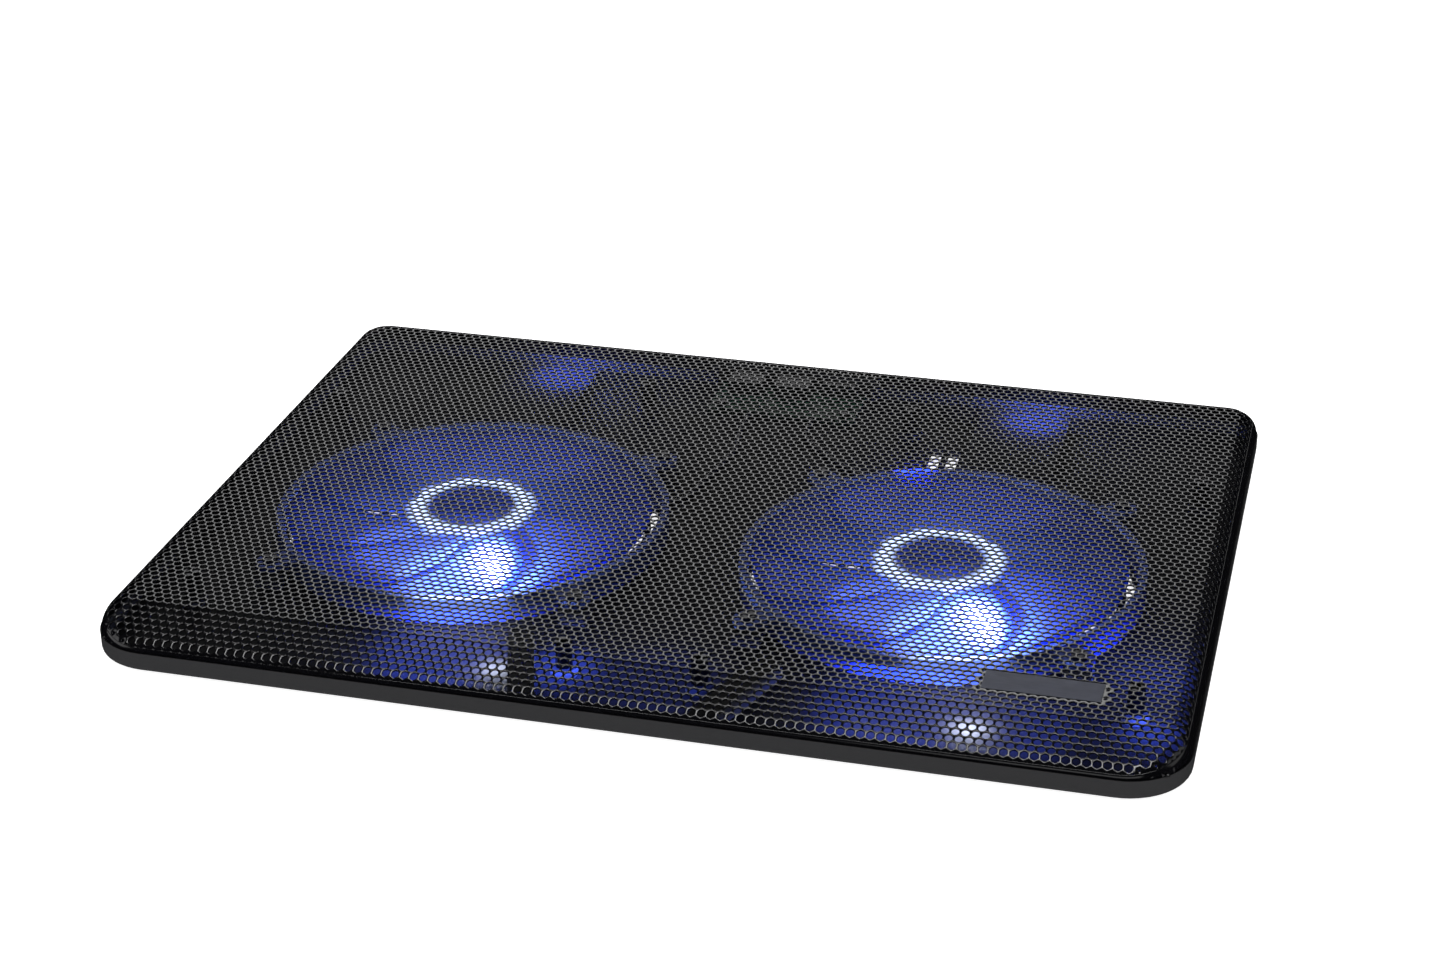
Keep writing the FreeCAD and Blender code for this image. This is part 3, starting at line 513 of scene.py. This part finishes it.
def reach_from(look, centre):
    """How far a point is from a rotor's centre, as a share of the blades' length."""
    offset = look.nodes.new("ShaderNodeVectorMath")
    offset.operation = "DISTANCE"
    offset.inputs[1].default_value = centre
    look.link(look.place(), offset.inputs[0])
    reach = look.nodes.new("ShaderNodeMath")
    reach.operation = "DIVIDE"
    reach.inputs[1].default_value = BLADE_TIP * MM
    look.link(offset.outputs["Value"], reach.inputs[0])
    return reach.outputs["Value"]


def rotor_plastic(centre):
    """Clear blue blades: light gets through them, with painted light: a white ring painted glowing round the
    hub at centre, and a blue glow painted over the blades.
    """
    look = Look("rotor_plastic", (0.013, 0.026, 0.2), 0.35)
    look.set("Specular IOR Level", 0.2)
    # Painted light: the emission paints the LED's light through the hub's edge as a white ring, and a blue
    # glow over the blades; it turns with the rotor.
    glow = look.ramp(reach_from(look, centre), [
        (0.0, (0.002, 0.006, 0.05)),
        (0.23, (0.003, 0.008, 0.06)),
        (0.28, (0.55, 0.7, 1.0)),
        (0.32, (0.55, 0.7, 1.0)),
        (0.37, (0.01, 0.025, 0.12)),
        (0.75, (0.001, 0.004, 0.028)),
        (1.0, (0.001, 0.003, 0.02)),
    ])
    look.link(glow, look.shader.inputs["Emission Color"])
    look.set("Emission Strength", 5.0)
    look.wear(6.0, 0.05)
    look.bump(3.0, 0.02)
    cloudy = look.nodes.new("ShaderNodeBsdfTranslucent")
    cloudy.inputs["Color"].default_value = (0.02, 0.045, 0.4, 1.0)
    body = look.blend(look.shader, cloudy, share=0.45)
    look.show(look.blend(body, look.clear((0.1, 0.2, 0.8)), share=0.3))
    return look.material


def floor_paint():
    """The pale floor, lit from within like a light table, and clear from underneath."""
    look = Look("floor_paint", (0.9, 0.9, 0.9), 0.6)
    look.set("Emission Color", (1.0, 1.0, 1.0, 1.0))
    look.set("Emission Strength", 0.9)
    look.mottle(400.0, 0.01)
    paint = look.blend(look.shader, look.clear((1.0, 1.0, 1.0)))
    geometry = look.nodes.new("ShaderNodeNewGeometry")
    look.link(geometry.outputs["Backfacing"], paint.inputs["Fac"])
    look.show(paint)
    return look.material


# ---------------------------------------------------------------- mesh tools


def make_piece(name, points, quads, material, body):
    """A smooth-shaded mesh of four-sided faces, from points in millimetres. It rides on a body."""
    mesh = bpy.data.meshes.new(name)
    mesh.vertices.add(len(points))
    mesh.vertices.foreach_set("co", (np.asarray(points) * MM).ravel())
    mesh.loops.add(4 * len(quads))
    mesh.loops.foreach_set("vertex_index", np.asarray(quads).ravel())
    mesh.polygons.add(len(quads))
    mesh.polygons.foreach_set("loop_start", np.arange(0, 4 * len(quads), 4))
    mesh.update(calc_edges=True)
    mesh.validate()
    mesh.shade_smooth()
    mesh.materials.append(material)
    piece = bpy.data.objects.new(name, mesh)
    bpy.context.scene.collection.objects.link(piece)
    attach(piece, body)
    return piece


def welded(points, quads):
    """Joins points that lie in the same place, and leaves out unused ones."""
    keys = np.round(points, WELD_DECIMALS)
    _, first, index = np.unique(keys, axis=0, return_index=True, return_inverse=True)
    return points[first], index.ravel()[quads]


def grid_quads(rows, columns, closed=False):
    """The faces of a grid of points numbered row by row. A closed grid joins up with itself both ways."""
    open_ends = 0 if closed else 1
    row, column = np.meshgrid(np.arange(rows - open_ends), np.arange(columns - open_ends), indexing="ij")
    next_row = (row + 1) % rows
    next_column = (column + 1) % columns
    corners = [
        row * columns + column,
        next_row * columns + column,
        next_row * columns + next_column,
        row * columns + next_column,
    ]
    return np.stack([corner.ravel() for corner in corners], axis=1)


# ---------------------------------------------------------------- the panel
# Here u and v are places on the flat sheet, and x, y and z are places on the finished panel.


def inward(x, y):
    """How far a point lies inside the panel's outline, and the outline's outward direction there."""
    radius = np.where(y < 0, FRONT_CORNER, REAR_CORNER)
    across = np.abs(x) - (PANEL_HALF_WIDTH - radius)
    along = np.abs(y) - (PANEL_HALF_DEPTH - radius)
    in_corner = (across > 0) & (along > 0)
    reach = np.hypot(np.maximum(across, 0), np.maximum(along, 0))
    distance = np.where(in_corner, radius - reach, radius - np.maximum(across, along))
    divisor = np.maximum(reach, TINY)
    out_x = np.where(in_corner, across / divisor, across >= along) * np.sign(x)
    out_y = np.where(in_corner, along / divisor, across < along) * np.sign(y)
    return distance, out_x, out_y


def unrolled_height(y):
    """The sheet's height before its rim is rolled over: flat, and sloping down in front of the fold."""
    slope = PANEL_TOP + SLOPE * (y - FOLD_Y)
    gap = np.clip(0.5 + 0.5 * (slope - PANEL_TOP) / FOLD_SOFTNESS, 0, 1)
    return slope + (PANEL_TOP - slope) * gap - FOLD_SOFTNESS * gap * (1 - gap)


def roll_reach(drop):
    """How far in from the rim the roll starts, where the sheet has to drop this far."""
    return LEAST_REACH + (1 - LEAST_REACH / ROLL_RADIUS) * drop


def panel_height(x, y):
    """The top of the sheet, rolled over at the rim."""
    top = unrolled_height(y)
    drop = top - ROLL_START
    reach = roll_reach(drop)
    share = np.clip(1 - inward(x, y)[0] / reach, 0, 1)
    return top - drop * (1 - np.sqrt(1 - share**2))


def facing_front(out_y):
    """From 0 at the sides and rear to 1 where the outline faces the front."""
    return np.clip((-out_y - FRONTAL_START) / FRONTAL_SPAN, 0, 1)


def panel_tilt(x, y):
    """The slopes of the top of the sheet along x and along y."""
    ahead_x, behind_x = panel_height(x + TILT_STEP, y), panel_height(x - TILT_STEP, y)
    ahead_y, behind_y = panel_height(x, y + TILT_STEP), panel_height(x, y - TILT_STEP)
    return (ahead_x - behind_x) / (2 * TILT_STEP), (ahead_y - behind_y) / (2 * TILT_STEP)


def within_plate(x, y, growth):
    """Whether a point is within the name plate's outline, grown outwards by this much."""
    return np.all([
        x > PLATE_LOW[0] - growth,
        x < PLATE_HIGH[0] + growth,
        y > PLATE_LOW[1] - growth,
        y < PLATE_HIGH[1] + growth,
    ], axis=0)


def laid_on_panel(u, v, depth):
    """Points of the flat sheet, rolled over the rim, at this depth below its face."""
    inside, out_x, out_y = inward(u, v)
    arc = np.clip((inside + FLAT_EXTRA) / ROLL_RADIUS, 0, HALF_TURN / 2)
    rolled = ROLL_RADIUS * (1 - np.cos(arc))
    shift = np.where(arc < HALF_TURN / 2, rolled - inside, 0) * (1 - facing_front(out_y))
    x = u - out_x * shift
    y = v - out_y * shift
    tilt_x, tilt_y = panel_tilt(x, y)
    size = np.sqrt(tilt_x**2 + tilt_y**2 + 1)
    z = panel_height(x, y) - np.where(within_plate(x, y, -PLATE_BORDER), PLATE_RECESS, 0)
    return np.stack([x + tilt_x * depth / size, y + tilt_y * depth / size, z - depth / size], axis=-1)


def hole_centres():
    """Centres of the cells in staggered rows over the flat sheet."""
    rows = int((PANEL_HALF_DEPTH + FLAT_EXTRA) / ROW_STEP) + 1
    columns = int((PANEL_HALF_WIDTH + FLAT_EXTRA) / HOLE_PITCH) + 1
    row, column = np.meshgrid(np.arange(-rows, rows + 1), np.arange(-columns, columns + 1))
    u = (column + 0.5 * (row % 2)) * HOLE_PITCH
    v = row * ROW_STEP
    return u.ravel(), v.ravel()


def distance_on_sheet(u, v):
    """How far along the sheet a point of the flat pattern lies from the rim."""
    inside, _, out_y = inward(u, v)
    return inside + FLAT_EXTRA * (1 - facing_front(out_y))


def rim_width(out_x, out_y):
    """Width of the plain rim, seen from above, where the outline faces this way."""
    rear = np.maximum(out_y, 0) ** 2
    front = np.maximum(-out_y, 0) ** 2
    return SIDE_RIM * out_x**2 + REAR_RIM * rear + FRONT_RIM * front


def rim_on_sheet(u, v):
    """Width of the plain rim, measured along the sheet."""
    _, out_x, out_y = inward(u, v)
    width = rim_width(out_x, out_y)
    frontal = facing_front(out_y)
    return frontal * width + (1 - frontal) * ROLL_RADIUS * np.arccos(1 - width / ROLL_RADIUS)


def panel_cells():
    """Cell centres, and whether each has a hole."""
    u, v = hole_centres()
    beyond_rim = distance_on_sheet(u, v) - rim_on_sheet(u, v)
    keep = beyond_rim > -KEPT_UNDER_RIM
    reach = HOLE_RADIUS + HOLE_MARGIN
    pierced = (beyond_rim > reach) & ~within_plate(u, v, reach)
    return u[keep], v[keep], pierced[keep]


def cell_ring(u, v, radius):
    """Points round each centre at the cell's bearings, drawn in where they would pass the sheet's rim."""
    bearing = np.arange(CELL_SIDES) * 2 * HALF_TURN / CELL_SIDES
    ring_u = (u[:, None] + radius * np.cos(bearing)).ravel()
    ring_v = (v[:, None] + radius * np.sin(bearing)).ravel()
    _, out_x, out_y = inward(ring_u, ring_v)
    over = np.maximum(LEAST_INSIDE - distance_on_sheet(ring_u, ring_v), 0)
    return ring_u - out_x * over, ring_v - out_y * over


def cell_edge():
    """Distances from a six-sided cell's centre to its sides' middles and its corners, in turn."""
    flat = HOLE_PITCH / 2
    return np.where(np.arange(CELL_SIDES) % 2, flat / math.cos(HALF_TURN / 6), flat)


def panel_zone(name, u, v, pierced, material):
    """Part of the perforated sheet: a six-sided cell round each centre, most with a hole."""
    radius = np.where(pierced, HOLE_RADIUS, PLUG_RADIUS)
    outer = cell_ring(u, v, cell_edge())
    shoulder = cell_ring(u, v, radius[:, None] + EDGE_ROUND)
    inner = cell_ring(u, v, radius[:, None])
    crown = np.tile(np.where(np.arange(CELL_SIDES) % 2, 0, WEB_CROWN), len(u))
    layers = [
        laid_on_panel(*outer, crown),
        laid_on_panel(*shoulder, WEB_CROWN),
        laid_on_panel(*inner, WEB_CROWN + EDGE_ROUND),
        laid_on_panel(*inner, SHEET),
        laid_on_panel(*outer, SHEET),
    ]
    size = len(u) * CELL_SIDES
    here = np.arange(size)
    after = here - here % CELL_SIDES + (here + 1) % CELL_SIDES
    band = np.stack([here, after, after + size, here + size], axis=1)
    quads = [band + layer * size for layer in range(len(layers) - 1)]
    points, quads = welded(np.concatenate(layers), np.concatenate(quads))
    return make_piece(name, points, quads, material, "pad")


def outline_stations():
    """Points round the panel's outline, close together, with a pair at each end of the port notch."""
    stations = []
    for corner, (side_x, side_y) in enumerate(CORNER_SIGNS):
        radius = FRONT_CORNER if side_y < 0 else REAR_CORNER
        centre = (side_x * (PANEL_HALF_WIDTH - radius), side_y * (PANEL_HALF_DEPTH - radius))
        for turn in np.linspace(0, HALF_TURN / 2, CORNER_STEPS):
            bearing = (corner - 1) * HALF_TURN / 2 + turn
            stations.append((
                centre[0] + radius * math.cos(bearing),
                centre[1] + radius * math.sin(bearing),
                math.cos(bearing),
                math.sin(bearing),
            ))
        stations.extend(straight_stations(corner))
    return np.array(stations)


def straight_stations(corner):
    """Points along the straight side after a corner, going anticlockwise."""
    front_end = FRONT_CORNER - PANEL_HALF_DEPTH
    rear_end = PANEL_HALF_DEPTH - REAR_CORNER
    if corner == 0:
        return [(PANEL_HALF_WIDTH, y, 1, 0) for y in np.linspace(front_end, rear_end, SIDE_STEPS)[1:-1]]
    if corner == 1:
        return [(x, PANEL_HALF_DEPTH, 0, 1) for x in rear_places()]
    if corner == 2:
        return [(-PANEL_HALF_WIDTH, y, -1, 0) for y in np.linspace(rear_end, front_end, SIDE_STEPS)[1:-1]]
    reach = PANEL_HALF_WIDTH - FRONT_CORNER
    return [(x, -PANEL_HALF_DEPTH, 0, -1) for x in np.linspace(-reach, reach, SIDE_STEPS)[1:-1]]


def rear_places():
    """Where the points along the rear side are, from right to left, with a pair at each end of the notch."""
    reach = PANEL_HALF_WIDTH - REAR_CORNER
    outside = NOTCH_HALF + NOTCH_GAP
    inside = NOTCH_HALF - NOTCH_GAP
    return np.concatenate([
        np.linspace(reach, outside, NOTCH_STEPS)[1:],
        np.linspace(inside, -inside, NOTCH_STEPS),
        np.linspace(-outside, -reach, NOTCH_STEPS)[:-1],
    ])


def rim_loop(stations, share, skin):
    """Points round the rim, this share of the way in from its foot and this far below its face."""
    x, y, out_x, out_y = stations.T
    in_notch = (np.abs(x) < NOTCH_HALF) & (y > 0)
    notch_arc = math.asin((NOTCH_TOP - ROLL_START) / ROLL_RADIUS)
    width = rim_width(out_x, out_y)
    top = unrolled_height(y - out_y * width * share)
    drop = top - ROLL_START
    reach = roll_reach(drop)
    arc = share * np.arccos(1 - width / reach)
    arc = np.where(in_notch, np.maximum(arc, notch_arc), arc)
    depth = skin + (reach - skin) * (1 - np.cos(arc))
    height = top - skin - (drop - skin) * (1 - np.sin(arc))
    if share == 0:
        # The foot ends level with the panel's lowest edge, except over the ports.
        height = np.where(in_notch, height, PANEL_LOW[2])
    return np.stack([x - out_x * depth, y - out_y * depth, height], axis=1)


def panel_rim(material):
    """The plain rolled edge round the field of holes, a hair thicker so that the field ends inside it."""
    stations = outline_stations()
    shares = np.linspace(0, 1, RIM_STEPS)
    outer = [rim_loop(stations, share, 0.0) for share in shares]
    inner = [rim_loop(stations, share, SHEET + RIM_PROUD) for share in shares[::-1]]
    points = np.stack(outer + inner, axis=1)
    quads = grid_quads(*points.shape[:2], closed=True)
    points, quads = welded(points.reshape(-1, 3), quads)
    return make_piece("panel_rim", points, quads, material, "pad")


def build_panel():
    """The perforated panel, as a rim and strips of the field of holes."""
    material = panel_steel()
    u, v, pierced = panel_cells()
    strips = np.array_split(np.argsort(u, kind="stable"), PANEL_ZONES)
    pieces = [panel_rim(material)]
    for number, strip in enumerate(strips, start=1):
        pieces.append(panel_zone(f"panel_field_{number}", u[strip], v[strip], pierced[strip], material))
    for piece in pieces:
        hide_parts("mesh_panel")


# ---------------------------------------------------------------- the rotors


def blade_points(turn, low, high):
    """A swept, cambered blade: a grid of points from hub to tip and from trailing to leading edge."""
    share, chord = np.meshgrid(np.linspace(0, 1, BLADE_ROWS), np.linspace(0, 1, BLADE_COLUMNS), indexing="ij")
    root = HUB_RADIUS - BLADE_ROOT
    reach = root + (BLADE_TIP - root) * share
    width = BLADE_WIDTH * (1 - BLADE_TAPER * share)
    angle = turn + BLADE_SWEEP * share**SWEEP_POWER + width * chord
    camber = BLADE_CAMBER * np.sin(chord * HALF_TURN)
    height = low + (high - low) * chord + camber - TIP_DROP * share**2
    return np.stack([reach * np.cos(angle), reach * np.sin(angle), np.clip(height, low, high)], axis=-1)


def edge_face(start, end, under, turned):
    """The face between a stretch of a sheet's edge and the same stretch of its underside."""
    face = [start, end, end + under, start + under]
    return face[::-1] if turned else face


def closed_sheet(top, thickness):
    """A thin solid from a grid of points: its top, its underside and its edges."""
    rows, columns = top.shape[:2]
    under = top - np.array([0, 0, thickness])
    count = rows * columns
    quads = grid_quads(rows, columns)
    edges = []
    for row in range(rows - 1):
        for column in (0, columns - 1):
            start = row * columns + column
            edges.append(edge_face(start, start + columns, count, turned=column == 0))
    for column in range(columns - 1):
        for row in (0, rows - 1):
            start = row * columns + column
            edges.append(edge_face(start, start + 1, count, turned=row > 0))
    points = np.concatenate([top.reshape(-1, 3), under.reshape(-1, 3)])
    return points, np.concatenate([quads, quads[:, ::-1] + count, np.array(edges)])


def hub_outline(low, high):
    """The hub's profile: up its outside, over its rounded lip, in across the dish and back underneath."""
    inner = HUB_RADIUS - HUB_WALL
    outline = [(inner, low), (HUB_RADIUS, low)]
    for turn in np.linspace(0, HALF_TURN / 2, HUB_LIP_STEPS):
        outline.append((inner + HUB_WALL * math.cos(turn), high - HUB_WALL * (1 - math.sin(turn))))
    return outline + [
        (DISH_RADIUS, high - DISH_DEPTH),
        (BUTTON_RADIUS, high - BUTTON_FOOT_DEPTH),
        (BUTTON_TOP_RADIUS, high - BUTTON_EDGE_DEPTH),
        (AXIS_HOLE, high - BUTTON_TOP_DEPTH),
        (AXIS_HOLE, high - CEILING_DEPTH),
        (DISH_RADIUS, high - CEILING_EDGE_DEPTH),
        (inner, high - CEILING_CORNER_DEPTH),
    ]


def hub_cup(low, high):
    """The hub's profile turned round the axis: a cup with a rounded lip and a shallow dish on top."""
    reach, height = np.array(hub_outline(low, high)).T
    bearings = np.linspace(0, 2 * HALF_TURN, HUB_SIDES, endpoint=False)[:, None]
    points = np.stack([
        np.cos(bearings) * reach,
        np.sin(bearings) * reach,
        np.ones_like(bearings) * height,
    ], axis=-1)
    return points.reshape(-1, 3), grid_quads(HUB_SIDES, len(reach), closed=True)


def build_rotor(side):
    """One fan's blades and hub."""
    node = f"rotor_{side}"
    low, high = box_mm(node)
    centre = (low + high) / 2
    points, quads = hub_cup(low[2], high[2])
    all_points, all_quads = [points], [quads]
    count = len(points)
    for blade in range(BLADES):
        turn = 2 * HALF_TURN * blade / BLADES
        sheet = blade_points(turn, low[2] + BLADE_ABOVE_BASE, high[2] - BLADE_BELOW_TOP)
        points, quads = closed_sheet(sheet, BLADE_SHEET)
        all_points.append(points)
        all_quads.append(quads + count)
        count += len(points)
    points = np.concatenate(all_points) + np.array([centre[0], centre[1], 0])
    quads = np.concatenate(all_quads)
    material = rotor_plastic(tuple(centre * MM))
    piece = make_piece(f"rotor_{side}_blades", points, quads, material, f"fan_{side}")
    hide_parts(node)


# ---------------------------------------------------------------- the scene


def dress_nodes():
    """Gives every carried-over CAD node the material of its slot. Rebuilt nodes have their own."""
    makers = [
        tray_plastic, plate_metal, screw_steel, rubber, fan_plastic, led_lens, bronze, magnet, core_iron,
        copper_wire, circuit_board, socket_steel, insert_plastic, switch_metal, knob_plastic, lead_sleeve,
        shaft_steel,
    ]
    looks = {maker.__name__: maker() for maker in makers}
    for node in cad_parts.values():
        for holder in node.material_slots:
            slot_name = holder.material.name.split(".")[0]
            if slot_name in looks:
                holder.link = "OBJECT"
                holder.material = looks[slot_name]


def build_floor():
    """A large pale floor under the pad, which its gloss doesn't mirror."""
    corners = [(side_x * FLOOR_HALF, side_y * FLOOR_HALF, 0) for side_x, side_y in CORNER_SIGNS]
    mesh = bpy.data.meshes.new("floor")
    mesh.from_pydata(corners, [], [(0, 1, 2, 3)])
    mesh.materials.append(floor_paint())
    floor = bpy.data.objects.new("floor", mesh)
    bpy.context.scene.collection.objects.link(floor)
    floor.visible_glossy = False


def add_area(name, place, aim, size, watts):
    """A soft box of this size at a place, aimed at a point, itself out of sight."""
    data = bpy.data.lights.new(name, "AREA")
    data.shape = "RECTANGLE"
    data.size, data.size_y = size
    data.energy = watts
    lamp = bpy.data.objects.new(name, data)
    bpy.context.scene.collection.objects.link(lamp)
    direction = Vector(aim) - Vector(place)
    lamp.matrix_world = Matrix.Translation(place) @ direction.to_track_quat("-Z", "Y").to_matrix().to_4x4()
    lamp.visible_camera = False


def add_glow(name, place, length, width, watts, colour, bearing=0.0):
    """A patch of light inside the pad, placed in millimetres, shining down and itself out of sight."""
    data = bpy.data.lights.new(name, "AREA")
    data.shape = "ELLIPSE"
    data.size, data.size_y = length * MM, width * MM
    data.energy = watts
    data.color = colour
    lamp = bpy.data.objects.new(name, data)
    lamp.location = place * MM
    lamp.rotation_euler.z = bearing
    lamp.visible_camera = False
    lamp.visible_glossy = False
    bpy.context.scene.collection.objects.link(lamp)


def add_fan_light(side):
    """The LED's light on one fan, strongest beside the LED and reaching round the hub."""
    low, high = box_mm(f"rotor_{side}")
    centre = (low + high) / 2
    for number, (reach, bearing, length, width, watts) in enumerate(FAN_GLOWS):
        turn = math.radians(bearing)
        place = Vector((
            centre[0] + reach * math.cos(turn),
            centre[1] + reach * math.sin(turn),
            high[2] + GLOW_GAP,
        ))
        add_glow(f"glow_{side}_{number}", place, length, width, watts, LED_WHITE, turn)


def studio_world():
    """An even grey surround that lights everything, but that gloss shows as a dark room."""
    world = bpy.data.worlds.new("studio")
    bpy.context.scene.world = world
    world.use_nodes = True
    nodes, links = world.node_tree.nodes, world.node_tree.links
    path = nodes.new("ShaderNodeLightPath")
    mix = nodes.new("ShaderNodeMixRGB")
    mix.inputs["Color1"].default_value = (*SURROUND, 1.0)
    mix.inputs["Color2"].default_value = (*ROOM, 1.0)
    links.new(path.outputs["Is Glossy Ray"], mix.inputs["Fac"])
    links.new(mix.outputs["Color"], nodes["Background"].inputs["Color"])


def build_light():
    """Soft studio light, with a large soft box on each side and one overhead, and the pad's own light."""
    studio_world()
    for name, bearing, watts in SOFT_BOXES:
        turn = math.radians(bearing)
        flat = BOX_DISTANCE * math.cos(BOX_ELEVATION)
        place = Vector((
            flat * math.sin(turn),
            flat * math.cos(turn),
            BOX_DISTANCE * math.sin(BOX_ELEVATION),
        ))
        add_area(name, place, (0, 0, 0), BOX_SIZE, watts)
    add_area("top_box", TOP_BOX_PLACE, TOP_BOX_AIM, TOP_BOX_SIZE, TOP_BOX_WATTS)
    for side in SIDES:
        add_fan_light(side)
    for colour, spills in ((LED_BLUE, BLUE_SPILLS), (LED_WHITE, WHITE_SPILLS)):
        for x, y, z, size, watts in spills:
            add_glow("spill", Vector((x, y, z)), size, size, watts, colour)


def build_camera():
    """The camera, turned round the pad and tilted down at it."""
    back = Vector((
        math.sin(CAMERA_TURN) * math.cos(CAMERA_TILT),
        -math.cos(CAMERA_TURN) * math.cos(CAMERA_TILT),
        math.sin(CAMERA_TILT),
    ))
    data = bpy.data.cameras.new("camera")
    data.lens = CAMERA_LENS
    camera = bpy.data.objects.new("camera", data)
    bpy.context.scene.collection.objects.link(camera)
    turn = back.to_track_quat("Z", "Y").to_matrix().to_4x4() @ Matrix.Rotation(CAMERA_ROLL, 4, "Z")
    camera.matrix_world = Matrix.Translation(CAMERA_AIM + back * CAMERA_DISTANCE) @ turn
    bpy.context.scene.camera = camera


dress_nodes()
build_panel()
for side in SIDES:
    build_rotor(side)
build_floor()
build_light()
build_camera()
bpy.context.scene.view_settings.view_transform = "Standard"
